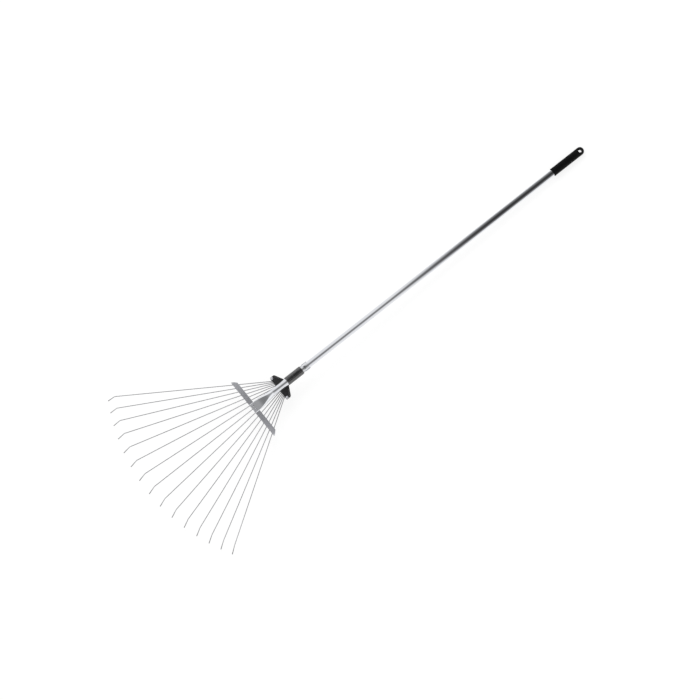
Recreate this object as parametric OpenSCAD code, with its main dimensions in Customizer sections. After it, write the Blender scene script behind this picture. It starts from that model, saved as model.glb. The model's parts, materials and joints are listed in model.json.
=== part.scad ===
// Adjustable wire leaf rake, lying on the ground with its head fanned out.
// Units are millimetres. X runs across the head, +Y towards the hand grip, +Z up.
// The origin is on the ground, under the middle of the rake's outline.
//
// Each module draws its piece in the tool's own frame: the tube's axis is Y, the middle of the
// comb bar is y = 0, and z = 0 is the tube's axis. on_ground() then tips the tool until the
// hooks of its outer tines and the round end of its grip touch the ground.

/* [Handle tube] */
// Outer diameter of the steel handle tube
tube_d = 20; // [18:0.5:22]
// Wall of the handle tube
tube_wall = 1.2; // [0.8:0.1:2]
// Middle of the comb bar to the far end of the hand grip
handle_len = 1204; // [800:1:1500]
// Length over which the tube changes from round to pressed flat
flare_len = 61; // [30:1:66]

/* [Hand grip] */
// Length of the hand grip
grip_len = 113; // [80:1:180]
// Wall of the grip over the tube
grip_wall = 2; // [1.5:0.1:4]
// Diameter of the hanging hole in the grip's round end
hang_hole_d = 10.6; // [6:0.2:13]
// Height of the rolled lip at the grip's mouth
grip_lip = 0.3; // [0.2:0.1:1.5]

/* [Comb bar] */
// Distance between neighbouring slots of the comb bar
comb_pitch = 12.1; // [11:0.1:15]
// Bar left past the middle of each outer slot
comb_end = 12.8; // [9:0.1:16]
// Width of the comb bar along the handle
comb_w = 14; // [12:0.5:16]
// Height of the comb bar
comb_h = 8.2; // [8:0.1:14]
// Thickness of the comb bar's sheet steel
comb_wall = 1.5; // [1:0.1:2]
// Radius of the comb bar's turned-down ends
comb_corner = 4; // [2:0.5:6]
// How far each back corner of the comb bar is cut off at 45 degrees
comb_cut = 11; // [6:0.5:11]

/* [Tines] */
// Diameter of the spring wire
wire_d = 2.4; // [2:0.1:2.6]
// Straight wire from a tine's pivot to the corner of its hook
tine_len = 456; // [400:1:520]
// How far a hook's tip lies below its wire
hook_drop = 60; // [35:1:65]
// How far a hook's tip lies ahead of the hook's corner
hook_reach = 18; // [10:1:28]
// Bend radius of a hook, at the middle of the wire
hook_bend = 5; // [4:0.5:8]
// Bend radius of a tine's pivot end, at the middle of the wire
pivot_bend = 1.8; // [1.6:0.1:2.4]
// Distance between neighbouring tine pivots
pivot_pitch = 3.5; // [3.3:0.1:3.9]
// Middle of the comb bar to the row of pivots, with the head fanned out
fan_distance = 93; // [88:1:130]

/* [Tine carrier] */
// Width of the carrier across both wings
carrier_w = 78; // [74:1:96]
// Pivot row to the carrier's front edge
carrier_front = 6; // [5:0.5:8]
// Pivot row to the carrier's back edge, beside the tube
carrier_back = 23.5; // [20:0.5:32]
// Straight height of each wing's outer edge
wing_side = 14.5; // [12:0.5:17]
// Half width of the carrier's back edge
wing_root = 11; // [10:0.5:14]
// Thickness of the carrier cover
cover_t = 4.5; // [3.5:0.1:6]
// Thickness of the carrier base
base_t = 4; // [3:0.1:6]
// Radius of the bead along the back edge of each wing
bead_r = 2.6; // [1.5:0.1:3.2]

/* [Lock] */
// Wall of the sleeve that slides on the tube
sleeve_wall = 1.14; // [1:0.02:1.6]
// Length of the lock nut
nut_len = 55; // [40:1:70]
// Wall of the lock nut
nut_wall = 1.5; // [1.2:0.1:3]
// Number of grooves along the lock nut
nut_flutes = 10; // [6:1:20]
// Depth of each groove
flute_depth = 0.4; // [0.2:0.1:0.6]
// Length of the collet's neck that shows above the nut
collet_neck = 6; // [4:0.5:10]
// Length of the collet's head
collet_head = 17.5; // [12:0.5:24]
// Width of the three slits that let the collet close on the tube
slit_w = 2.6; // [1:0.1:3]

/* [Rivets] */
// Shank diameter of the rivets through the flattened tube and the comb bar
comb_rivet_d = 4; // [3:0.1:5]
// Distance between those two rivets
comb_rivet_gap = 14; // [12:0.5:16]
// Shank diameter of the rivets through the carrier
carrier_rivet_d = 3; // [2.5:0.1:3.4]

/* [Clearances] */
// Radial gap where a piece turns or slides on another
running_gap = 0.06; // [0.03:0.01:0.09]
// Radial gap between fixed pieces that fit into one another
fixed_gap = 0.05; // [0.03:0.01:0.1]
// Gap between a wire and the plates or slots that guide it
wire_gap = 0.3; // [0.2:0.05:0.6]
// Gap between the end of one piece and the next piece along the tube
end_gap = 0.3; // [0.2:0.05:0.6]

/* [Hidden] */
TINES = 15;
$fn = 48;
HULL_FN = 32;

// Radii about the tube's axis
tube_r = tube_d / 2;
sleeve_in = tube_r + running_gap;
sleeve_out = sleeve_in + sleeve_wall;
nut_in = sleeve_out + running_gap;
nut_out = nut_in + nut_wall;
collet_neck_r = sleeve_in + 0.55 * sleeve_wall;
collet_head_r = nut_in + 0.7;
grip_r = tube_r + grip_wall;

// Heights, from the tube's axis
comb_top = -tube_r;
wire_r = wire_d / 2;
bend_wire_r = wire_r + 0.01;
bend_grip = 0.05;
trough_r = sleeve_out + fixed_gap;
trough_floor = 1.8;
cover_bottom = -trough_r - trough_floor;
cover_top = cover_bottom + cover_t;
wire_z = cover_bottom - wire_gap - wire_r;
base_top = wire_z - pivot_bend - fixed_gap;
base_bottom = base_top - base_t;
pin_inset = 0.4;
saddle_top = -0.6 * tube_r;

// The pressed end of the tube
flat_t = 2 * tube_wall + 0.1;
flat_w = PI * tube_d / 2;
flat_back = comb_w / 2 + 2;
flare_back = flat_back + flare_len;
flat_z = comb_top + flat_t / 2;

// Distances along the handle, from the middle of the comb bar
tube_back = handle_len - grip_r - hang_hole_d / 2 - 3;
carrier_y0 = fan_distance - carrier_front;
carrier_y1 = fan_distance + carrier_back;
nut_y0 = carrier_y1 + end_gap;
nut_y1 = nut_y0 + nut_len;
sleeve_y0 = carrier_y0 + 1;
sleeve_y1 = nut_y0 + 0.65 * nut_len;
collet_y0 = sleeve_y1 + end_gap;
neck_y0 = nut_y1 - 2;
head_y0 = nut_y1 + collet_neck;
head_y1 = head_y0 + collet_head;

// Tines: place of each pivot and comb slot, and its angle with the head fanned and folded
mid_tine = (TINES + 1) / 2;
function tine_name(i) = str("tine_", i < 10 ? "0" : "", i);
function pivot_x(i) = (i - mid_tine) * pivot_pitch;
function slot_x(i) = (i - mid_tine) * comb_pitch;
function tine_angle(i, distance) = atan((slot_x(i) - pivot_x(i)) / distance);
hook_angle = atan2(hook_drop, hook_reach);
hook_len = norm([hook_drop, hook_reach]);
hook_tangent = hook_bend * tan(hook_angle / 2);
// The head slides up until the hooks of the outer tines reach the comb bar
comb_stop = 1;
outer_offset = slot_x(TINES) - pivot_x(TINES);
guided_len = tine_len - hook_tangent - 1.02 * (comb_w / 2 + comb_stop);
folded_distance = sqrt(guided_len * guided_len - outer_offset * outer_offset);
comb_len = 2 * (slot_x(TINES) + comb_end);

// Rivet places
corner_rivet_x = carrier_w / 2 - 4.5;
corner_rivet_y = carrier_y0 + 4;
saddle_rivet_y = [fan_distance + 8, fan_distance + 17];
cavity_half_w = pivot_x(TINES) + carrier_front * tan(tine_angle(TINES, fan_distance)) + 2.5;
cavity_back = fan_distance + 3.2;

// How the tool lies: the grip's round end and the tips of the two outer hooks touch the ground
grip_ball = [handle_len - grip_r, 0];
tip_reach = tine_len + hook_reach;
tip_z = wire_z - hook_drop;
outer_tip = [fan_distance - tip_reach * cos(tine_angle(TINES, fan_distance)), tip_z];
ball_gap = grip_ball - outer_tip;
tilt = asin((grip_r - bend_wire_r) / norm(ball_gap)) - atan2(ball_gap[1], ball_gap[0]);
function ground_y(p) = p[0] * cos(tilt) - p[1] * sin(tilt);
function ground_z(p) = p[0] * sin(tilt) + p[1] * cos(tilt);
lift = grip_r - ground_z(grip_ball);
y_back = ground_y(grip_ball) + grip_r;
y_front = ground_y([fan_distance - tip_reach, tip_z]) - bend_wire_r;
shift = -(y_back + y_front) / 2;

// Colours
CHROME = [0.72, 0.73, 0.76];
ZINC = [0.58, 0.59, 0.62];
WIRE = [0.78, 0.79, 0.82];
BLACK = [0.09, 0.09, 0.1];
GRIP_BLACK = [0.06, 0.06, 0.06];

module on_ground() {
    translate([0, shift, lift])
        rotate([tilt, 0, 0])
            children();
}

// Turns a shape drawn up Z so that it lies along the handle, from distance y
module along(y) {
    translate([0, y, 0])
        rotate([-90, 0, 0])
            children();
}

// A flat shape drawn in X and Z, pulled along the handle from y for a length
module pulled(y, len) {
    translate([0, y + len, 0])
        rotate([90, 0, 0])
            linear_extrude(len)
                children();
}

// A rivet from height z0 to z1 with a low domed head at each end that sits outside
module rivet(x, y, z0, z1, d, head_low, head_high, spread = 0.9) {
    head_r = d * spread;
    translate([x, y, 0])
        rotate_extrude()
            polygon([
                [0, z0 - head_low], [head_r * 0.6, z0 - head_low], [head_r, z0 - head_low * 0.4],
                [head_r, z0], [d / 2, z0], [d / 2, z1], [head_r, z1],
                [head_r, z1 + head_high * 0.4], [head_r * 0.6, z1 + head_high], [0, z1 + head_high]
            ]);
}

// ---------------------------------------------------------------- handle

module flat_section(w, t) {
    square([w - t, t], center = true);
    for (side = [-1, 1])
        translate([side * (w - t) / 2, 0])
            circle(d = t);
}

// Blend from the round tube to the pressed end, whose flat outline is passed in
module flare(r) {
    hull() {
        along(flare_back - 0.05) cylinder(r = r, h = 0.05, $fn = HULL_FN);
        translate([0, 0, flat_z]) pulled(flat_back, 0.05) children();
    }
}

module handle_tube() {
    color(CHROME) on_ground() {
        difference() {
            union() {
                along(flare_back) cylinder(r = tube_r, h = tube_back - flare_back);
                flare(tube_r - 0.01) flat_section(flat_w, flat_t, $fn = HULL_FN);
                translate([0, 0, flat_z]) pulled(-comb_w / 2, flat_back + comb_w / 2 + 0.02)
                    flat_section(flat_w, flat_t);
            }
            along(flare_back - 0.02) cylinder(r = tube_r - tube_wall, h = tube_back);
            flare(tube_r - tube_wall - 0.01) square([flat_w - 2 * tube_wall, 0.1], center = true);
            for (side = [-1, 1])
                translate([side * comb_rivet_gap / 2, 0, comb_top - 1])
                    cylinder(r = comb_rivet_d / 2 + fixed_gap, h = flat_t + 2);
        }
    }
}

module hand_grip() {
    grip_y0 = handle_len - grip_len;
    straight = grip_len - grip_r;
    lip_len = 5;
    color(GRIP_BLACK) on_ground() {
        difference() {
            union() {
                along(grip_y0) cylinder(r = grip_r, h = straight);
                along(grip_y0) cylinder(r = grip_r + grip_lip, h = lip_len);
                translate([0, handle_len - grip_r, 0]) sphere(r = grip_r);
            }
            along(grip_y0 - 1) cylinder(r = tube_r + fixed_gap, h = tube_back - grip_y0 + 1 + end_gap);
            translate([0, handle_len - grip_r, -grip_r - 1])
                cylinder(d = hang_hole_d, h = 2 * grip_r + 2);
        }
    }
}

// ---------------------------------------------------------------- comb

module comb_outline(len, corner, h) {
    half = len / 2;
    translate([-half, -h]) square([len, h - corner]);
    translate([-half + corner, -h]) square([len - 2 * corner, h]);
    for (side = [-1, 1])
        translate([side * (half - corner), -corner])
            circle(r = corner);
}

// One slot wall: wide enough for its wire from the fanned to the folded angle
module comb_slot(i, y) {
    fanned = tan(tine_angle(i, fan_distance));
    folded = tan(tine_angle(i, folded_distance));
    middle = slot_x(i) - y * (fanned + folded) / 2;
    sweep = abs(fanned - folded) * abs(y) / 2;
    slant = abs(fanned) * comb_wall / 2;
    wire_half = wire_r * sqrt(1 + fanned * fanned);
    half_w = sweep + slant + wire_half + wire_gap;
    half_h = wire_r + wire_gap;
    translate([middle, y, wire_z])
        cube([2 * half_w, comb_wall + 1, 2 * half_h], center = true);
}

// The comb bar from above: a long strip with its two back corners cut off, taken in by inset.
module comb_plan(inset) {
    end_x = comb_len / 2 - inset;
    edge_y = comb_w / 2 - inset;
    cut_sum = (comb_len + comb_w) / 2 - comb_cut - sqrt(2) * inset;
    polygon([[-end_x, -edge_y], [end_x, -edge_y], [end_x, cut_sum - end_x],
             [cut_sum - edge_y, edge_y], [edge_y - cut_sum, edge_y], [-end_x, cut_sum - end_x]]);
}

// A solid bar with the comb bar's turned-down ends and cut corners, taken in by inset.
module comb_block(inset) {
    half_w = comb_w / 2 - inset;
    intersection() {
        translate([0, 0, comb_top - inset]) pulled(-half_w, 2 * half_w)
            comb_outline(comb_len - 2 * inset, comb_corner - inset, comb_h);
        translate([0, 0, comb_top - 2 * comb_h]) linear_extrude(3 * comb_h)
            comb_plan(inset);
    }
}

module comb_bar() {
    wall_y = (comb_w - comb_wall) / 2;
    color(ZINC) on_ground() {
        difference() {
            comb_block(0);
            comb_block(comb_wall);
            for (i = [1:TINES], side = [-1, 1])
                comb_slot(i, side * wall_y);
            for (side = [-1, 1])
                translate([side * comb_rivet_gap / 2, 0, comb_top - comb_wall - 1])
                    cylinder(r = comb_rivet_d / 2 + fixed_gap, h = comb_wall + 2);
        }
    }
}

module comb_rivets() {
    color(ZINC) on_ground() {
        for (side = [-1, 1])
            rivet(side * comb_rivet_gap / 2, 0, comb_top - comb_wall, comb_top + flat_t,
                  comb_rivet_d, 0.7, 1.4);
    }
}

// ---------------------------------------------------------------- tines

// One wire, drawn with its pivot on Z and its straight length along -Y. Its bends and its tip
// are a hair thicker than the straight wire, which enters them by bend_grip.
module wire() {
    pin_end = base_bottom + pin_inset - wire_z;
    straight = tine_len - pivot_bend - hook_tangent;
    hook_straight = hook_len - hook_tangent;
    translate([0, 0, pin_end])
        cylinder(r = wire_r, h = -pivot_bend - pin_end + bend_grip);
    translate([0, -pivot_bend, -pivot_bend]) rotate([90, 0, 90])
        rotate_extrude(angle = 90)
            translate([pivot_bend, 0]) circle(r = bend_wire_r);
    translate([0, bend_grip - pivot_bend, 0]) rotate([90, 0, 0])
        cylinder(r = wire_r, h = straight + 2 * bend_grip);
    translate([0, hook_tangent - tine_len, -hook_bend]) rotate([180, -90, 0])
        rotate_extrude(angle = hook_angle)
            translate([hook_bend, 0]) circle(r = bend_wire_r);
    translate([0, -tine_len, 0]) rotate([hook_angle + 90, 0, 0]) {
        translate([0, 0, hook_tangent - bend_grip])
            cylinder(r = wire_r, h = hook_straight + bend_grip);
        translate([0, 0, hook_len])
            sphere(r = bend_wire_r);
    }
}

module tine(i) {
    color(WIRE) on_ground()
        translate([pivot_x(i), fan_distance, wire_z])
            rotate([0, 0, tine_angle(i, fan_distance)])
                wire();
}

// ---------------------------------------------------------------- sliding head

// Seen from above, both wings and the strip between them, with rounded corners
module carrier_outline() {
    half = carrier_w / 2;
    low = 3;
    high = 4.5;
    side_y = carrier_y0 + wing_side;
    slope = atan2(carrier_y1 - side_y, half - wing_root);
    tip = [half - high, side_y - high * tan(45 - slope / 2)];
    polygon([
        [-half + low, carrier_y0], [half - low, carrier_y0], [half, carrier_y0 + low],
        [half, tip[1]], tip + high * [sin(slope), cos(slope)],
        [wing_root, carrier_y1], [-wing_root, carrier_y1],
        [-tip[0] - high * sin(slope), tip[1] + high * cos(slope)], [-half, tip[1]],
        [-half, carrier_y0 + low]
    ]);
    for (side = [-1, 1]) {
        translate([side * (half - low), carrier_y0 + low]) circle(r = low);
        translate([side * tip[0], tip[1]]) circle(r = high);
    }
}

// Half-round bead with round ends along the sloping back edge of each wing
module wing_beads() {
    inner = [wing_root + 3.5, carrier_y1 - bead_r - 2.2];
    outer = [carrier_w / 2 - bead_r - 2, carrier_y0 + wing_side - bead_r - 1];
    run = inner - outer;
    for (side = [-1, 1])
        translate([side * outer[0], outer[1], cover_top]) {
            sphere(r = bead_r);
            rotate([0, 0, side * atan2(run[0], -run[1]) - side * 180]) rotate([-90, 0, 0]) {
                cylinder(r = bead_r, h = norm(run));
                translate([0, 0, norm(run)]) sphere(r = bead_r);
            }
        }
}

module saddle_holes(r) {
    for (y = saddle_rivet_y)
        translate([0, y, base_bottom - 1])
            cylinder(r = r, h = tube_r - base_bottom);
}

module corner_holes(r) {
    for (side = [-1, 1])
        translate([side * corner_rivet_x, corner_rivet_y, base_bottom - 1])
            cylinder(r = r, h = tube_r - base_bottom);
}

rivet_hole_r = carrier_rivet_d / 2 + fixed_gap;
sunk_head_r = carrier_rivet_d * 0.9;
sunk_head_t = 0.6;

module head_sleeve() {
    color(ZINC) on_ground() {
        difference() {
            along(sleeve_y0) cylinder(r = sleeve_out, h = sleeve_y1 - sleeve_y0);
            along(sleeve_y0 - 1) cylinder(r = sleeve_in, h = sleeve_y1 - sleeve_y0 + 2);
            translate([-tube_d, sleeve_y0 - 1, saddle_top])
                cube([2 * tube_d, nut_y0 - sleeve_y0 + 1, 2 * tube_d]);
            saddle_holes(rivet_hole_r);
            for (y = saddle_rivet_y)
                translate([0, y, -sleeve_in - sunk_head_t - fixed_gap])
                    cylinder(r = sunk_head_r + fixed_gap, h = tube_r);
        }
    }
}

module carrier_cover() {
    color(BLACK) on_ground() {
        difference() {
            union() {
                translate([0, 0, cover_bottom]) linear_extrude(cover_t) carrier_outline();
                wing_beads();
            }
            along(carrier_y0 - 1) cylinder(r = trough_r, h = carrier_y1 - carrier_y0 + 2);
            saddle_holes(rivet_hole_r);
            corner_holes(rivet_hole_r);
        }
    }
}

module carrier_base() {
    color(BLACK) on_ground() {
        difference() {
            translate([0, 0, base_bottom])
                linear_extrude(cover_bottom - base_bottom)
                    carrier_outline();
            translate([-cavity_half_w, carrier_y0 - 1, base_top])
                cube([2 * cavity_half_w, cavity_back - carrier_y0 + 1, cover_bottom - base_top + 1]);
            for (i = [1:TINES])
                translate([pivot_x(i), fan_distance, base_bottom - 1])
                    cylinder(r = wire_r + running_gap, h = base_t + 2);
            saddle_holes(rivet_hole_r);
            corner_holes(rivet_hole_r);
        }
    }
}

module saddle_rivets() {
    color(ZINC) on_ground() {
        for (y = saddle_rivet_y)
            rivet(0, y, base_bottom, -sleeve_in - sunk_head_t, carrier_rivet_d, 1, sunk_head_t - 0.05);
    }
}

module corner_rivets() {
    color(WIRE) on_ground() {
        for (side = [-1, 1])
            rivet(side * corner_rivet_x, corner_rivet_y, base_bottom, cover_top,
                  carrier_rivet_d, 1, 1.5, 1.3);
    }
}

// ---------------------------------------------------------------- lock

module lock_collet() {
    rim = 0.8;
    color(ZINC) on_ground() {
        difference() {
            along(0) rotate_extrude() polygon([
                [sleeve_in, collet_y0], [sleeve_out, collet_y0], [sleeve_out, neck_y0 - 1],
                [collet_neck_r, neck_y0], [collet_neck_r, head_y0],
                [collet_head_r - rim, head_y0], [collet_head_r, head_y0 + rim],
                [collet_head_r, head_y1 - rim], [collet_head_r - rim, head_y1],
                [sleeve_in, head_y1]
            ]);
            for (slit = [-1:1])
                rotate([0, 180 + slit * 120, 0])
                    translate([-slit_w / 2, collet_y0 + 8, 0])
                        cube([slit_w, head_y1 - collet_y0, 2 * tube_d]);
        }
    }
}

module lock_nut() {
    bevel = 1.2;
    flute_r = 0.7;
    flute_end = 4;
    color(BLACK) on_ground() {
        difference() {
            along(0) rotate_extrude() polygon([
                [nut_in, nut_y0], [nut_out - bevel / 2, nut_y0], [nut_out, nut_y0 + bevel],
                [nut_out, nut_y1 - bevel], [nut_out - bevel / 2, nut_y1], [nut_in, nut_y1]
            ]);
            for (k = [0:nut_flutes - 1])
                rotate([0, (k + 0.5) * 360 / nut_flutes, 0])
                    translate([nut_out + flute_r - flute_depth, 0, 0])
                        along(nut_y0 + flute_end) cylinder(r = flute_r, h = nut_len - 2 * flute_end);
        }
    }
}

handle_tube();
hand_grip();
comb_bar();
comb_rivets();
head_sleeve();
carrier_cover();
carrier_base();
saddle_rivets();
corner_rivets();
lock_collet();
lock_nut();
for (i = [1:TINES])
    tine(i);
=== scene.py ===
import json
import math

import bmesh
import bpy
from mathutils import Matrix, Vector

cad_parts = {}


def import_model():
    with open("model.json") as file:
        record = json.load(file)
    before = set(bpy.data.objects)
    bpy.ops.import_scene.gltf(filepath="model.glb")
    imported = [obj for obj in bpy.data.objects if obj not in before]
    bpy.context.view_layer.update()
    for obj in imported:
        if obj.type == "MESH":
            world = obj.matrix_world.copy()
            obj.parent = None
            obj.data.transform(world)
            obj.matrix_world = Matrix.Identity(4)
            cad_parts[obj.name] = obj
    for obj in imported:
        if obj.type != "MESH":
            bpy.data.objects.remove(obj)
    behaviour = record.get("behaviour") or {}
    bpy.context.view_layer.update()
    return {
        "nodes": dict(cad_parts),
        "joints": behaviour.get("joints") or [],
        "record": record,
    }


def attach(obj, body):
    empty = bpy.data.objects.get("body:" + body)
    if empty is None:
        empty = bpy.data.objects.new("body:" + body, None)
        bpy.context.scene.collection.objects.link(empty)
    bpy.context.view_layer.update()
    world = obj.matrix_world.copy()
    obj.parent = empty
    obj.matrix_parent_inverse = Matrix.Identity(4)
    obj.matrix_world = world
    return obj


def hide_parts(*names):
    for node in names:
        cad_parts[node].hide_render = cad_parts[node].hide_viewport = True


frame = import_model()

# The looks of an adjustable wire leaf rake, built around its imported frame, in metres.
#
# Every piece is drawn in the tool's own frame and then laid into the row frame by TOOL:
# x runs across the head, y along the tube towards the grip, z out of the plane of the tines.
# Its origin is on the tube's axis, over the middle of the comb bar.

MM = 0.001

# ------------------------------------------------------------------ the tool's own frame

JOINTS = {joint["name"]: joint for joint in frame["joints"]}
MOUNTS = {mount["name"]: mount for mount in frame["record"]["mounts"]}
BODY_OF = {n: body for body, nodes in frame["record"]["behaviour"]["bodies"].items() for n in nodes}

ALONG = Vector(JOINTS["head_slide"]["axis"]).normalized()
UP = Vector(JOINTS["tine_01_swing"]["axis"]).normalized()
ACROSS = ALONG.cross(UP)


def middle_along(node):
    """Distance along the handle, in the row frame, of the middle of a CAD node."""
    reach = [ALONG.dot(v.co) for v in frame["nodes"][node].data.vertices]
    return (min(reach) + max(reach)) / 2


on_axis = Vector(MOUNTS["grip_outer"]["pos_m"])
ORIGIN = on_axis + ALONG * (middle_along("comb_bar") - ALONG.dot(on_axis))
TOOL = Matrix.Translation(ORIGIN) @ Matrix((ACROSS, ALONG, UP)).transposed().to_4x4()
TO_TOOL = TOOL.inverted()


def span(node, behind=None):
    """Lowest and highest corner of a CAD node in the tool's frame, or of its part behind a y."""
    points = [TO_TOOL @ v.co for v in frame["nodes"][node].data.vertices]
    if behind is not None:
        points = [p for p in points if p.y > behind]
    low = Vector([min(p[k] for p in points) for k in range(3)])
    high = Vector([max(p[k] for p in points) for k in range(3)])
    return low, high


# ------------------------------------------------------------------ building meshes

# The small radius at which a turned or domed surface ends, next to its axis.
POLE = 0.02 * MM
# Steps round each rounded corner of a turned profile.
CORNER_STEPS = 5


def eased(value, start, end):
    """0 before start, 1 after end, smooth between."""
    t = max(0.0, min(1.0, (value - start) / (end - start)))
    return t * t * (3 - 2 * t)


def placed(name, data):
    """A new object in the scene."""
    obj = bpy.data.objects.new(name, data)
    bpy.context.scene.collection.objects.link(obj)
    return obj


def laid_mesh(bm, name):
    """The mesh of bm, laid from the tool's frame into the row frame. bm is used up."""
    mesh = bpy.data.meshes.new(name)
    bm.to_mesh(mesh)
    bm.free()
    mesh.transform(TOOL)
    return mesh


def finish_piece(bm, name, material, *nodes, sharp=40):
    """Lays a mesh drawn in the tool's frame into the row frame, in place of CAD nodes."""
    bmesh.ops.recalc_face_normals(bm, faces=bm.faces)
    mesh = laid_mesh(bm, name)
    mesh.shade_smooth()
    mesh.set_sharp_from_angle(angle=math.radians(sharp))
    mesh.materials.append(material)
    piece = placed(name, mesh)
    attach(piece, BODY_OF[nodes[0]])
    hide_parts(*nodes)
    return piece


def loft(bm, rings, closed=False):
    """Skins a row of rings that have the same number of points. closed joins the last to the first."""
    rows = [[bm.verts.new(p) for p in ring] for ring in rings]
    pairs = list(zip(rows, rows[1:]))
    if closed:
        pairs.append((rows[-1], rows[0]))
    count = len(rows[0])
    for a, b in pairs:
        for k in range(count):
            after = (k + 1) % count
            bm.faces.new((a[k], a[after], b[after], b[k]))
    return rows


def capped(bm, rings):
    """Skins a row of rings and closes both ends."""
    rows = loft(bm, rings)
    bm.faces.new(rows[0])
    bm.faces.new(rows[-1])


def level_ring(x, y, z, radius, count):
    """A ring of points round (x, y) at height z."""
    turns = [2 * math.pi * k / count for k in range(count)]
    return [Vector((x + radius * math.cos(a), y + radius * math.sin(a), z)) for a in turns]


def rounded(corners):
    """A profile from (a, b, radius) corners, with each corner turned into an arc of that radius."""
    profile = []
    count = len(corners)
    for k, (a, b, radius) in enumerate(corners):
        here = Vector((a, b))
        if radius <= 0:
            profile.append(here)
            continue
        back = (Vector(corners[k - 1][:2]) - here).normalized()
        ahead = (Vector(corners[(k + 1) % count][:2]) - here).normalized()
        half = back.angle(ahead) / 2
        middle = here + (back + ahead).normalized() * (radius / math.sin(half))
        start = here + back * (radius / math.tan(half)) - middle
        end = here + ahead * (radius / math.tan(half)) - middle
        turn = start.angle_signed(end)
        for step in range(CORNER_STEPS + 1):
            profile.append(middle + Matrix.Rotation(-turn * step / CORNER_STEPS, 2) @ start)
    return profile


def turned(bm, profile, steps, radius_at=None):
    """Revolves a closed profile of (radius, y) points about the tube's axis."""
    rings = []
    for radius, y in profile:
        ring = []
        for k in range(steps):
            angle = 2 * math.pi * k / steps
            r = radius_at(radius, y, angle) if radius_at else radius
            ring.append(Vector((r * math.sin(angle), y, r * math.cos(angle))))
        rings.append(ring)
    loft(bm, rings, closed=True)


# Faces of a CAD node that meet at more than this many degrees get a rounded edge.
SOFT_ANGLE = 35
SOFT_SEGMENTS = 3
# Points nearer than this are one point, and faces flatter than this many degrees are one face.
SAME_POINT = 0.002 * MM
SAME_FACE = 1


def softened(node, name, material, bevel):
    """A copy of a CAD node whose edges are rounded by a bevel."""
    bm = bmesh.new()
    bm.from_mesh(frame["nodes"][node].data)
    bm.transform(TO_TOOL)
    bmesh.ops.remove_doubles(bm, verts=bm.verts, dist=SAME_POINT)
    bmesh.ops.dissolve_limit(bm, angle_limit=math.radians(SAME_FACE), verts=bm.verts, edges=bm.edges)
    piece = finish_piece(bm, name, material, node, sharp=SOFT_ANGLE)
    edge = piece.modifiers.new("edges", "BEVEL")
    edge.width = bevel
    edge.segments = SOFT_SEGMENTS
    edge.limit_method = "ANGLE"
    edge.angle_limit = math.radians(SOFT_ANGLE)
    edge.harden_normals = True


def apply_modifiers(piece):
    """Bakes a piece's modifiers into its mesh."""
    graph = bpy.context.evaluated_depsgraph_get()
    mesh = bpy.data.meshes.new_from_object(piece.evaluated_get(graph))
    piece.modifiers.clear()
    piece.data = mesh


# ------------------------------------------------------------------ materials

# The attribute that says how much darker each point of a wire's hook is drawn, and the one with the card's
# levels.
HOOK_DARKENING = "hook_darkening"
SHADE = "shade"

# The range that nearly all of a noise pattern lies in.
NOISE_LOW = 0.3
NOISE_HIGH = 0.7


class Finish:
    """A procedural material around one Principled shader, in object coordinates."""

    def __init__(self, name, colour, roughness, metallic=0.0, ior=1.5):
        self.material = bpy.data.materials.new(name)
        self.material.use_nodes = True
        self.nodes = self.material.node_tree.nodes
        self.links = self.material.node_tree.links
        self.shader = self.nodes["Principled BSDF"]
        self.shader.inputs["Base Color"].default_value = (*colour, 1)
        self.shader.inputs["Roughness"].default_value = roughness
        self.shader.inputs["Metallic"].default_value = metallic
        self.shader.inputs["IOR"].default_value = ior
        self.place = self.nodes.new("ShaderNodeTexCoord").outputs["Object"]

    def noise(self, scale, detail, stretch=(1, 1, 1)):
        """Noise in object coordinates. stretch above 1 draws it finer along that axis."""
        mapping = self.nodes.new("ShaderNodeMapping")
        mapping.inputs["Scale"].default_value = stretch
        self.links.new(self.place, mapping.inputs["Vector"])
        noise = self.nodes.new("ShaderNodeTexNoise")
        noise.inputs["Scale"].default_value = scale
        noise.inputs["Detail"].default_value = detail
        self.links.new(mapping.outputs["Vector"], noise.inputs["Vector"])
        return noise.outputs["Fac"]

    def spangle(self, scale):
        """Random grey in each cell of a crystal pattern."""
        cells = self.nodes.new("ShaderNodeTexVoronoi")
        cells.inputs["Scale"].default_value = scale
        self.links.new(self.place, cells.inputs["Vector"])
        grey = self.nodes.new("ShaderNodeRGBToBW")
        self.links.new(cells.outputs["Color"], grey.inputs["Color"])
        return grey.outputs["Val"]

    def spread(self, value, low, high):
        """Noise, turned into numbers from low to high."""
        scaled = self.nodes.new("ShaderNodeMapRange")
        scaled.inputs["From Min"].default_value = NOISE_LOW
        scaled.inputs["From Max"].default_value = NOISE_HIGH
        scaled.inputs["To Min"].default_value = low
        scaled.inputs["To Max"].default_value = high
        self.links.new(value, scaled.inputs["Value"])
        return scaled.outputs["Result"]

    def ramp(self, value, *stops):
        """The colour at value along (position, colour) stops."""
        ramp = self.nodes.new("ShaderNodeValToRGB")
        elements = ramp.color_ramp.elements
        for element, (position, colour) in zip(elements, stops):
            element.position = position
            element.color = (*colour, 1)
        self.links.new(value, ramp.inputs["Fac"])
        return ramp.outputs["Color"]

    def colours(self, value, *stops):
        """Paints the base colour from (position, colour) stops along value."""
        self.links.new(self.ramp(value, *stops), self.shader.inputs["Base Color"])

    def roughness(self, value):
        """Drives the roughness by value."""
        self.links.new(value, self.shader.inputs["Roughness"])

    def bump(self, value, distance, strength):
        """Gives the surface relief, distance deep."""
        node = self.nodes.new("ShaderNodeBump")
        node.inputs["Distance"].default_value = distance
        node.inputs["Strength"].default_value = strength
        self.links.new(value, node.inputs["Height"])
        self.links.new(node.outputs["Normal"], self.shader.inputs["Normal"])


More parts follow.
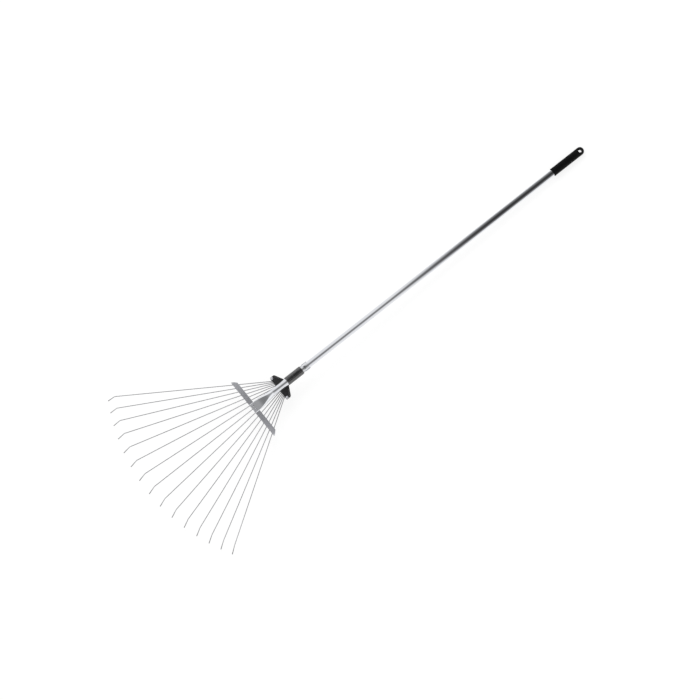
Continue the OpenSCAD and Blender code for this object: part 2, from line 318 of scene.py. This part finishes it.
def chrome_finish():
    """Bright plated tube with faint polishing lines along it."""
    finish = Finish("chrome_tube", (0.8, 0.81, 0.84), 0.1, metallic=1)
    cloud = finish.noise(scale=9, detail=3)
    finish.colours(cloud, (0.3, (0.77, 0.78, 0.82)), (0.7, (0.82, 0.83, 0.86)))
    wear = finish.noise(scale=60, detail=5, stretch=(6, 0.25, 6))
    finish.roughness(finish.spread(wear, 0.07, 0.16))
    lines = finish.noise(scale=700, detail=3, stretch=(1, 0.03, 1))
    finish.bump(lines, distance=0.01 * MM, strength=0.25)
    return finish.material


def zinc_grey(level):
    """The faintly blue grey of zinc."""
    return level, 1.01 * level, 1.07 * level


def zinc_finish(name, tone):
    """Zinc-plated sheet steel: soft spangle and a fine grain."""
    finish = Finish(name, (tone, tone, tone), 0.34, metallic=1)
    crystals = finish.spangle(scale=420)
    finish.colours(crystals, (0.2, zinc_grey(0.9 * tone)), (0.8, zinc_grey(1.08 * tone)))
    finish.roughness(finish.spread(finish.noise(scale=300, detail=4), 0.28, 0.42))
    finish.bump(finish.noise(scale=1500, detail=3), distance=0.02 * MM, strength=0.3)
    return finish.material


def collet_finish():
    """Bright turned steel of the collet, with fine rings from the lathe."""
    finish = Finish("collet_steel", (0.74, 0.75, 0.77), 0.18, metallic=1)
    cloud = finish.noise(scale=120, detail=3)
    finish.colours(cloud, (0.3, (0.7, 0.71, 0.74)), (0.7, (0.77, 0.78, 0.8)))
    wear = finish.noise(scale=500, detail=3, stretch=(0.1, 3, 0.1))
    finish.roughness(finish.spread(wear, 0.12, 0.24))
    rings = finish.noise(scale=900, detail=2, stretch=(0.05, 3, 0.05))
    finish.bump(rings, distance=0.01 * MM, strength=0.3)
    return finish.material


def wire_finish():
    """Drawn spring wire, galvanised, with a little tarnish. Its hooks are drawn nearly black, darker the
    lower they go.
    """
    finish = Finish("spring_wire", (0.42, 0.42, 0.43), 0.26, metallic=1)
    tarnish = finish.noise(scale=140, detail=4)
    wire_tone = finish.ramp(tarnish, (0.3, (0.37, 0.37, 0.38)), (0.7, (0.46, 0.46, 0.475)))
    # The hooks get a nearly black base colour, mixed in at each point by the wire's hook attribute.
    hook_noise = finish.noise(scale=420, detail=5)
    hook_tone = finish.ramp(hook_noise, (0.35, (0.015, 0.015, 0.017)), (0.7, (0.035, 0.035, 0.04)))
    darkening_share = finish.nodes.new("ShaderNodeAttribute")
    darkening_share.attribute_name = HOOK_DARKENING
    both = finish.nodes.new("ShaderNodeMix")
    both.data_type = "RGBA"
    finish.links.new(darkening_share.outputs["Fac"], both.inputs["Factor"])
    finish.links.new(wire_tone, both.inputs["A"])
    finish.links.new(hook_tone, both.inputs["B"])
    finish.links.new(both.outputs["Result"], finish.shader.inputs["Base Color"])
    finish.roughness(finish.spread(finish.noise(scale=900, detail=4), 0.2, 0.36))
    finish.bump(finish.noise(scale=2600, detail=2), distance=0.015 * MM, strength=0.3)
    return finish.material


def plastic_finish(name, ior, rough):
    """Glossy black moulded plastic with a faint orange peel and dusty scuffs."""
    finish = Finish(name, (0.012, 0.012, 0.013), 1.5 * rough, ior=ior)
    cloud = finish.noise(scale=80, detail=5)
    finish.colours(cloud, (0.35, (0.009, 0.009, 0.01)), (0.75, (0.018, 0.018, 0.02)))
    finish.roughness(finish.spread(finish.noise(scale=240, detail=5), rough, 2 * rough))
    finish.bump(finish.noise(scale=900, detail=3), distance=0.02 * MM, strength=0.3)
    return finish.material


def grip_finish():
    """Matte black soft vinyl with a fine pebbled skin."""
    finish = Finish("black_grip", (0.004, 0.004, 0.0045), 0.7)
    finish.shader.inputs["Specular IOR Level"].default_value = 0.25
    cloud = finish.noise(scale=60, detail=4)
    finish.colours(cloud, (0.3, (0.003, 0.003, 0.0034)), (0.7, (0.0055, 0.0055, 0.006)))
    finish.roughness(finish.spread(finish.noise(scale=200, detail=3), 0.6, 0.8))
    finish.bump(finish.noise(scale=1400, detail=2), distance=0.06 * MM, strength=0.5)
    return finish.material


CHROME = chrome_finish()
COLLET_STEEL = collet_finish()
ZINC = zinc_finish("zinc_steel", tone=0.5)
RIVET_STEEL = zinc_finish("rivet_steel", tone=0.6)
BRIGHT_STEEL = zinc_finish("bright_steel", tone=0.88)
WIRE = wire_finish()
PLASTIC = plastic_finish("black_plastic", ior=1.6, rough=0.16)
POLISHED_PLASTIC = plastic_finish("polished_plastic", ior=2.1, rough=0.1)
GRIP = grip_finish()

# ------------------------------------------------------------------ handle

TUBE_WALL = 1.2 * MM
tube_low, tube_high = span("handle_tube")
TUBE_R = span("handle_tube", behind=tube_high.y / 2)[1].x

# The pressed end: the air left between its walls, the y at which it stops being flat, the y at
# which the tube is round again, and the rounding of its front edge.
FLAT_AIR = 0.1 * MM
FLAT_BACK = 9 * MM
FLARE_BACK = 70 * MM
FRONT_EDGE = 0.35 * MM

# The share of the flare's height that opens evenly. The rest eases in, and is open at FLARE_OPEN.
FLARE_EVEN = 0.2
FLARE_OPEN = 0.95
FLARE_STEPS = 24
TUBE_STEPS = 12


def stadium(half_w, half_h, count=64):
    """Points at even steps round an oval with two flat sides, in x and z."""
    flat = half_w - half_h
    quarter = flat + math.pi * half_h / 2
    points = []
    for k in range(count):
        s = 4 * quarter * k / count
        side, along_side = divmod(s, 2 * quarter)
        if along_side < flat:
            x, z = along_side, half_h
        elif along_side < flat + math.pi * half_h:
            angle = (along_side - flat) / half_h
            x, z = flat + half_h * math.sin(angle), half_h * math.cos(angle)
        else:
            x, z = flat - (along_side - flat - math.pi * half_h), -half_h
        if side:
            x, z = -x, -z
        points.append((x, z))
    return points


def tube_section(y, half_h, inset):
    """A ring of the tube where it is pressed to half_h, taken in by inset. Its girth is kept."""
    half_w = math.pi * TUBE_R / 2 + half_h * (1 - math.pi / 2)
    ring = stadium(half_w - inset, half_h - inset)
    return [Vector((x, y, z + half_h - TUBE_R)) for x, z in ring]


def tube_stations(flat_h):
    """(y, half height) along the tube, from its pressed front end to its round back end."""
    stations = [(tube_low.y, flat_h), (FLAT_BACK, flat_h)]
    for step in range(1, FLARE_STEPS + 1):
        t = step / FLARE_STEPS
        opened = FLARE_EVEN * t + (1 - FLARE_EVEN) * eased(t, 0, FLARE_OPEN)
        stations.append((FLAT_BACK + t * (FLARE_BACK - FLAT_BACK), flat_h + opened * (TUBE_R - flat_h)))
    for step in range(1, TUBE_STEPS + 1):
        stations.append((FLARE_BACK + (tube_high.y - FLARE_BACK) * step / TUBE_STEPS, TUBE_R))
    return stations


def handle_tube():
    """Round tube whose front end is pressed flat, with a smooth flare between the two."""
    stations = tube_stations(TUBE_WALL + FLAT_AIR / 2)
    front_y, front_h = stations[0]
    outer = [tube_section(front_y, front_h, FRONT_EDGE)]
    outer.append(tube_section(front_y + 0.3 * FRONT_EDGE, front_h, 0.3 * FRONT_EDGE))
    outer.append(tube_section(front_y + FRONT_EDGE, front_h, 0))
    outer += [tube_section(y, h, 0) for y, h in stations[1:]]
    inner = [tube_section(y, h, TUBE_WALL) for y, h in reversed(stations)]
    bm = bmesh.new()
    loft(bm, outer + inner, closed=True)
    finish_piece(bm, "handle_tube_shell", CHROME, "handle_tube", sharp=50)


# The air between the grip and the tube, round it and at its end.
GRIP_AIR = 0.05 * MM
GRIP_END_AIR = 0.3 * MM
# The grip's rolled lip: its length, and the length and steps of the slope behind it.
LIP_LEN = 5 * MM
LIP_SLOPE = 2 * MM
LIP_STEPS = 6
DOME_STEPS = 24
GRIP_SIDES = 96
# The rounding of the hanging hole's two mouths.
HOLE_RIM = 1.3 * MM
HOLE_SIDES = 64


def grip_profile(low, high, radius):
    """Closed (radius, y) profile of the grip, from the bore round the lip and the round end."""
    lip_r = high.x
    centre = high.y - radius
    bore = TUBE_R + GRIP_AIR
    bore_end = tube_high.y + GRIP_END_AIR
    corners = [(bore, low.y, 0.5 * MM), (lip_r, low.y, 1.2 * MM)]
    for step in range(LIP_STEPS + 1):
        t = step / LIP_STEPS
        slope_y = low.y + LIP_LEN + (t - 0.5) * LIP_SLOPE
        corners.append((lip_r + (radius - lip_r) * eased(t, 0, 1), slope_y, 0))
    for step in range(DOME_STEPS):
        angle = math.pi / 2 * step / DOME_STEPS
        corners.append((radius * math.cos(angle), centre + radius * math.sin(angle), 0))
    corners += [(POLE, centre + radius, 0), (POLE, bore_end, 0), (bore, bore_end, 0)]
    return rounded(corners)


def hole_cutter(centre, radius, hole_r):
    """A pin through the round end, whose middle is at y centre. It widens at both ends, to round
    the hole's mouths, and stands out past the skin.
    """
    mouth = math.sqrt(radius ** 2 - hole_r ** 2)
    half = [(hole_r, 0.0), (hole_r, mouth - HOLE_RIM)]
    for step in range(1, 6):
        a = math.radians(15 * step)
        half.append((hole_r + HOLE_RIM * (1 - math.cos(a)), mouth - HOLE_RIM + HOLE_RIM * math.sin(a)))
    half.append((hole_r + 2.2 * HOLE_RIM, mouth + 1.2 * HOLE_RIM))
    profile = [(r, -z) for r, z in reversed(half)] + half[1:]
    bm = bmesh.new()
    capped(bm, [level_ring(0, centre, z, r, HOLE_SIDES) for r, z in profile])
    bmesh.ops.recalc_face_normals(bm, faces=bm.faces)
    return placed("hole_cutter", laid_mesh(bm, "hole_cutter"))


def hand_grip():
    """Vinyl grip: a rolled lip, a straight body and a round end with a hanging hole."""
    low, high = span("hand_grip")
    radius = MOUNTS["grip_outer"]["dims"]["r_mm"] * MM
    hole_r = MOUNTS["hang_hole"]["dims"]["r_mm"] * MM
    bm = bmesh.new()
    turned(bm, grip_profile(low, high, radius), GRIP_SIDES)
    grip = finish_piece(bm, "hand_grip_skin", GRIP, "hand_grip")

    cutter = hole_cutter(high.y - radius, radius, hole_r)
    cut = grip.modifiers.new("hanging_hole", "BOOLEAN")
    cut.object = cutter
    cut.solver = "EXACT"
    apply_modifiers(grip)
    bpy.data.objects.remove(cutter)
    grip.data.shade_smooth()
    grip.data.set_sharp_from_angle(angle=math.radians(40))


# ------------------------------------------------------------------ rivets

HEAD_STEPS = 5
RIVET_SIDES = 28


def rivet(bm, x, y, z0, z1, shank_r, head_r, low_t, high_t):
    """A rivet along z with a domed head at each end. z0 and z1 are its very ends."""
    low_head = []
    high_head = []
    for k in range(1, HEAD_STEPS + 1):
        a = math.pi / 2 * k / HEAD_STEPS
        low_head.append((head_r * math.sin(a), z0 + low_t * (1 - math.cos(a))))
        high_head.insert(0, (head_r * math.sin(a), z1 - high_t * (1 - math.cos(a))))
    profile = [(POLE, z0)] + low_head
    profile += [(shank_r, z0 + low_t), (shank_r, z1 - high_t)]
    profile += high_head + [(POLE, z1)]
    capped(bm, [level_ring(x, y, z, r, RIVET_SIDES) for r, z in profile])


def rivets(node, name, material, across, low_t, high_t, head_to_shank=1.8):
    """The two rivets of a CAD node, which stand apart in x if across, or else in y."""
    low, high = span(node)
    head_r = (high.y - low.y) / 2 if across else (high.x - low.x) / 2
    shank_r = head_r / head_to_shank
    bm = bmesh.new()
    if across:
        places = [(low.x + head_r, (low.y + high.y) / 2), (high.x - head_r, (low.y + high.y) / 2)]
    else:
        places = [(0, low.y + head_r), (0, high.y - head_r)]
    for x, y in places:
        rivet(bm, x, y, low.z, high.z, shank_r, head_r, low_t, high_t)
    finish_piece(bm, name, material, node, sharp=50)


# ------------------------------------------------------------------ lock nut

NUT_BORE_R = 11.26 * MM
NUT_RIM = 3.6 * MM
NUT_SIDES = 360
NUT_LENGTHS = 40
NUT_GROOVES = 10
GROOVE_R = 0.7 * MM
GROOVE_DEPTH = 0.4 * MM
GROOVE_END = 1.2 * MM


def lock_nut():
    """Black nut with narrow round-ended grooves between two smooth rims.

    The long outer line of its profile gets points in between, so that the grooves can end there.
    """
    low, high = span("lock_nut")
    outer = high.x
    profile = rounded([(NUT_BORE_R, low.y, 0.3 * MM), (outer, low.y, 1.2 * MM),
                       (outer, high.y, 1.2 * MM), (NUT_BORE_R, high.y, 0.3 * MM)])
    body = []
    for k, (radius, y) in enumerate(profile):
        body.append(Vector((radius, y)))
        ahead = profile[(k + 1) % len(profile)]
        if abs(ahead[1] - y) > (high.y - low.y) / 2 and radius > NUT_BORE_R + 0.5 * MM:
            body += [Vector((outer, y + (ahead[1] - y) * s / NUT_LENGTHS)) for s in range(1, NUT_LENGTHS)]

    def grooved(radius, y, angle):
        if radius < outer - 0.01 * MM:
            return radius
        ends = min(y - low.y - NUT_RIM, high.y - NUT_RIM - y) / GROOVE_END
        strength = math.sqrt(1 - (1 - max(0.0, min(1.0, ends))) ** 2)
        pitch = 2 * math.pi / NUT_GROOVES
        aside = outer * math.sin((angle % pitch) - pitch / 2)
        cut = math.sqrt(max(0.0, GROOVE_R ** 2 - aside ** 2)) - (GROOVE_R - GROOVE_DEPTH)
        return radius - strength * max(0.0, cut)

    bm = bmesh.new()
    turned(bm, body, NUT_SIDES, grooved)
    finish_piece(bm, "lock_nut_body", POLISHED_PLASTIC, "lock_nut", sharp=60)


# ------------------------------------------------------------------ tines

HOOK_REACH = 18 * MM
HOOK_BEND = 5 * MM
PIVOT_BEND = 1.8 * MM
WIRE_SIDES = 14
TINE_COUNT = 15
# How far a tine's pin ends above the underside of the carrier.
PIN_SHORT = 0.4 * MM
# How far down the hook the darkening reaches its full strength, as a share of the drop.
HOOK_DARKENING_REACH = 0.16


def arc(centre, start, turn, steps):
    """Points (y, z) round centre, from start, through turn radians."""
    arm = Vector(start) - Vector(centre)
    return [Vector(centre) + Matrix.Rotation(turn * k / steps, 2) @ arm for k in range(steps + 1)]


def wire_path(length, drop, pin, wire_r):
    """Centre line (y, z) of a tine, from the lower end of its pivot to the tip of its hook."""
    path = [Vector((0, -pin))]
    path += arc((-PIVOT_BEND, -PIVOT_BEND), (0, -PIVOT_BEND), math.pi / 2, steps=6)
    angle = math.atan2(drop, HOOK_REACH)
    tangent = HOOK_BEND * math.tan(angle / 2)
    straight = length - PIVOT_BEND - tangent
    path += [Vector((-PIVOT_BEND - straight * k / 8, 0)) for k in range(1, 8)]
    path += arc((tangent - length, -HOOK_BEND), (tangent - length, 0), angle, steps=10)
    tip = Vector((-length - HOOK_REACH, -drop))
    path.append(tip + (path[-1] - tip).normalized() * wire_r)
    return path


def wire_ring(point, ahead, radius):
    """A ring of the wire round a (y, z) point of its centre line, square to ahead."""
    ring = []
    for k in range(WIRE_SIDES):
        a = 2 * math.pi * k / WIRE_SIDES
        out = radius * math.sin(a)
        ring.append(Vector((radius * math.cos(a), point[0] - ahead[1] * out, point[1] + ahead[0] * out)))
    return ring


def wire_rings(path, wire_r):
    """Rings along the wire's centre line, with a rounded cut end."""
    rings = []
    for k, point in enumerate(path):
        ahead = path[min(k + 1, len(path) - 1)] - path[max(k - 1, 0)]
        rings.append(wire_ring(point, ahead.normalized(), wire_r))
    onward = (path[-1] - path[-2]).normalized()
    for step in range(1, 5):
        a = math.radians(20 * step)
        rings.append(wire_ring(path[-1] + onward * wire_r * math.sin(a), onward, wire_r * math.cos(a)))
    return rings


def tine(number, wire_r, fan_y, wire_z, length, drop, pin):
    """One spring wire, swept along its centre line and swung to its place in the fan."""
    node = f"tine_{number:02d}"
    low, high = span(node)
    joint = JOINTS.get(f"{node}_swing")
    pivot_x = (TO_TOOL @ Vector(joint["pos_m"])).x if joint else 0.0
    tip_x = low.x + wire_r if pivot_x < 0 else high.x - wire_r
    swing = math.asin((tip_x - pivot_x) / (length + HOOK_REACH)) if joint else 0.0
    bm = bmesh.new()
    hook_darkening = bm.verts.layers.float.new(HOOK_DARKENING)
    capped(bm, wire_rings(wire_path(length, drop, pin, wire_r), wire_r))
    # Points of the hook are drawn darker the lower they lie, from just under the wire down to a share of
    # the drop.
    for vert in bm.verts:
        on_hook = vert.co.y < -length / 2
        vert[hook_darkening] = eased(-vert.co.z, 0.5 * wire_r, HOOK_DARKENING_REACH * drop) if on_hook else 0.0
    bm.transform(Matrix.Translation((pivot_x, fan_y, wire_z)) @ Matrix.Rotation(swing, 4, "Z"))
    finish_piece(bm, f"{node}_wire", WIRE, node, sharp=50)


def tines():
    """All the tines. Their common sizes come from the straight one in the middle."""
    low, high = span("tine_08")
    pivot = TO_TOOL @ Vector(JOINTS["tine_01_swing"]["pos_m"])
    wire_r = (high.x - low.x) / 2
    drop = pivot.z - low.z - wire_r
    length = pivot.y - low.y - wire_r - HOOK_REACH
    base_low = span("carrier_base")[0]
    pin = pivot.z - base_low.z - PIN_SHORT
    for number in range(1, TINE_COUNT + 1):
        tine(number, wire_r, pivot.y, pivot.z, length, drop, pin)


# ------------------------------------------------------------------ stage

# The line of sight, in degrees, and how far right of and above the tool's origin it is aimed.
HEADING = 38.84
ELEVATION = 81
AIM_RIGHT = 270.6 * MM
AIM_UP = 161.5 * MM
CAMERA_DISTANCE = 20.0
VIEW_WIDTH = 1984.5 * MM
SENSOR = 36


def camera():
    """A long lens, nearly overhead, that sees the handle rise from lower left to upper right."""
    heading = math.radians(HEADING)
    elevation = math.radians(ELEVATION)
    right = Vector((math.sin(heading), math.cos(heading), 0))
    floor_up = Vector((-math.cos(heading), math.sin(heading), 0))
    back = Vector((0, 0, 1)) * math.sin(elevation) - floor_up * math.cos(elevation)
    up = back.cross(right)
    centre = ORIGIN + right * AIM_RIGHT + up * AIM_UP
    data = bpy.data.cameras.new("camera")
    data.sensor_width = SENSOR
    data.lens = SENSOR * CAMERA_DISTANCE / VIEW_WIDTH
    data.clip_end = 200
    turn = Matrix((right, up, back)).transposed().to_4x4()
    obj = placed("camera", data)
    obj.matrix_world = Matrix.Translation(centre + back * CAMERA_DISTANCE) @ turn
    bpy.context.scene.camera = obj


def bare_material(name):
    """A material with nothing but its output, and its nodes and links."""
    material = bpy.data.materials.new(name)
    material.use_nodes = True
    nodes, links = material.node_tree.nodes, material.node_tree.links
    nodes.remove(nodes["Principled BSDF"])
    return material, nodes, links


def seen_directly(nodes, links):
    """1 for rays from the camera, and for reflected and refracted ones."""
    path = nodes.new("ShaderNodeLightPath")
    total = path.outputs["Is Camera Ray"]
    for name in ("Is Glossy Ray", "Is Transmission Ray"):
        either = nodes.new("ShaderNodeMath")
        either.operation = "MAXIMUM"
        links.new(total, either.inputs[0])
        links.new(path.outputs[name], either.inputs[1])
        total = either.outputs[0]
    return total


# The floor's own grey, and the glow that lifts it to white where it is seen.
FLOOR_GREY = 0.28
FLOOR_GLOW = 0.78
FLOOR_RADIUS = 300
FLOOR_DROP = 0.5 * MM


def floor():
    """A pale floor that shows white and keeps the object's shadow."""
    bm = bmesh.new()
    bmesh.ops.create_circle(bm, cap_ends=True, radius=FLOOR_RADIUS, segments=96)
    mesh = bpy.data.meshes.new("floor")
    bm.to_mesh(mesh)
    bm.free()
    material, nodes, links = bare_material("floor")
    matte = nodes.new("ShaderNodeBsdfDiffuse")
    matte.inputs["Color"].default_value = (FLOOR_GREY, FLOOR_GREY, FLOOR_GREY, 1)
    glow = nodes.new("ShaderNodeEmission")
    share = nodes.new("ShaderNodeMath")
    share.operation = "MULTIPLY"
    share.inputs[1].default_value = FLOOR_GLOW
    links.new(seen_directly(nodes, links), share.inputs[0])
    links.new(share.outputs[0], glow.inputs["Strength"])
    both = nodes.new("ShaderNodeAddShader")
    links.new(matte.outputs[0], both.inputs[0])
    links.new(glow.outputs[0], both.inputs[1])
    links.new(both.outputs[0], nodes["Material Output"].inputs["Surface"])
    mesh.materials.append(material)
    obj = placed("floor", mesh)
    obj.location = (0, 0, -FLOOR_DROP)


# The world's level where it lights the scene, and where it is seen.
WORLD_LIGHT = 0.75
WORLD_SEEN = 1.0


def world():
    """Even soft light from all round, which shows white."""
    made = bpy.data.worlds.new("studio")
    bpy.context.scene.world = made
    made.use_nodes = True
    nodes, links = made.node_tree.nodes, made.node_tree.links
    background = nodes["Background"]
    background.inputs["Color"].default_value = (1, 1, 1, 1)
    level = nodes.new("ShaderNodeMapRange")
    level.inputs["To Min"].default_value = WORLD_LIGHT
    level.inputs["To Max"].default_value = WORLD_SEEN
    links.new(seen_directly(nodes, links), level.inputs["Value"])
    links.new(level.outputs["Result"], background.inputs["Strength"])


# Where the lamp hangs, in the row frame.
KEY_PLACE = (-2.6, 0.6, 3.2)


def key_light():
    """One broad lamp from the upper left, aimed at the middle of the scene."""
    data = bpy.data.lights.new("key", "AREA")
    data.shape = "RECTANGLE"
    data.size = 2.5
    data.size_y = 2.0
    data.energy = 45
    obj = placed("key", data)
    obj.location = KEY_PLACE
    obj.rotation_euler = (-Vector(KEY_PLACE)).to_track_quat("-Z", "Y").to_euler()
    obj.visible_glossy = False


# The card is bent round over the handle, CARD_REACH degrees to each side. Flat metal, seen from
# the camera, reflects the place on it that is CARD_LEAN nearer to the grip. Its middle line stands
# to one side: CARD_SIDE_FLAT over the pressed end, CARD_SIDE_ROUND over the round tube.
CARD_LEAN = 36 * MM
CARD_SIDE_FLAT = -32 * MM
CARD_SIDE_ROUND = 50 * MM
CARD_RADIUS = 260 * MM
CARD_REACH = 118
CARD_TURNS = 72
CARD_LENGTHS = 260

# Distances along the handle, in mm from the comb bar: the card's two ends, and where it passes
# from one row of levels to the next.
CARD_FRONT = -900
CARD_BACK = 1700
FLAT_BEGINS = (-200, -110)
FLAT_ENDS = (15, 45)
SIDE_CHANGES = (10, 90)
NUT_BEGINS = (110, 124)
NUT_ENDS = (166, 180)
GRIP_BEGINS = (420, 900)

# What the metal sees of the card: the level of its dark middle, the half-angles in degrees from
# which it brightens and at which it is bright, and its bright level.
OVER_FLAT = (0.38, 3, 36, 1.05)
OVER_HEAD = (0.22, 8, 52, 0.92)
OVER_NUT = (0.1, 40, 60, 1.05)
OVER_GRIP = (0.045, 14, 128, 0.55)


def blended(a, b, share):
    """The numbers of a, turned into those of b by share."""
    return [u + (v - u) * share for u, v in zip(a, b)]


def card_shade(y, degrees):
    """Level of the card at y mm along the handle, degrees round from its middle line."""
    row = blended(OVER_HEAD, OVER_GRIP, eased(y, *GRIP_BEGINS))
    row = blended(row, OVER_FLAT, eased(y, *FLAT_BEGINS) * (1 - eased(y, *FLAT_ENDS)))
    row = blended(row, OVER_NUT, eased(y, *NUT_BEGINS) * (1 - eased(y, *NUT_ENDS)))
    grey, inner, outer, side = row
    grey += (1 - grey) * (1 - eased(y, CARD_FRONT, 0)) ** 2
    return grey + (side - grey) * eased(abs(degrees), inner, outer)


def card_mesh():
    """The bent card, with its level at each point in the attribute SHADE."""
    bm = bmesh.new()
    shade = bm.verts.layers.float.new(SHADE)
    rows = []
    for step in range(CARD_LENGTHS + 1):
        y = CARD_FRONT + (CARD_BACK - CARD_FRONT) * step / CARD_LENGTHS
        aside = CARD_SIDE_FLAT + (CARD_SIDE_ROUND - CARD_SIDE_FLAT) * eased(y, *SIDE_CHANGES)
        row = []
        for k in range(CARD_TURNS + 1):
            degrees = CARD_REACH * (2 * k / CARD_TURNS - 1)
            turn = math.radians(degrees)
            place = (aside + math.sin(turn) * CARD_RADIUS, y * MM + CARD_LEAN, math.cos(turn) * CARD_RADIUS)
            vert = bm.verts.new(place)
            vert[shade] = card_shade(y, degrees)
            row.append(vert)
        rows.append(row)
    for a, b in zip(rows, rows[1:]):
        for k in range(CARD_TURNS):
            bm.faces.new((a[k], a[k + 1], b[k + 1], b[k]))
    return laid_mesh(bm, "card")


def card():
    """A grey card bent round over the handle, which only reflections see. It fades out to white."""
    mesh = card_mesh()
    material, nodes, links = bare_material("card")
    glow = nodes.new("ShaderNodeEmission")
    painted = nodes.new("ShaderNodeAttribute")
    painted.attribute_name = SHADE
    links.new(painted.outputs["Fac"], glow.inputs["Strength"])
    links.new(glow.outputs[0], nodes["Material Output"].inputs["Surface"])
    mesh.materials.append(material)
    obj = placed("card", mesh)
    obj.visible_camera = False
    obj.visible_diffuse = False
    obj.visible_shadow = False
    obj.visible_transmission = False


# ------------------------------------------------------------------ the scene

camera()
handle_tube()
hand_grip()
softened("comb_bar", "comb_bar_channel", ZINC, bevel=0.45 * MM)
rivets("comb_rivets", "comb_rivet_pair", ZINC, across=True, low_t=0.7 * MM, high_t=1.4 * MM)
softened("head_sleeve", "head_sleeve_tube", ZINC, bevel=0.25 * MM)
softened("carrier_cover", "carrier_cover_shell", PLASTIC, bevel=0.8 * MM)
softened("carrier_base", "carrier_base_shell", PLASTIC, bevel=0.6 * MM)
rivets("saddle_rivets", "saddle_rivet_pair", RIVET_STEEL, across=False, low_t=1.0 * MM, high_t=0.5 * MM)
rivets("corner_rivets", "corner_rivet_pair", BRIGHT_STEEL, across=True, low_t=1.0 * MM,
       high_t=1.5 * MM, head_to_shank=2.6)
softened("lock_collet", "lock_collet_ring", COLLET_STEEL, bevel=0.25 * MM)
lock_nut()
tines()
floor()
world()
key_light()
card()

bpy.context.scene.view_settings.view_transform = "Standard"
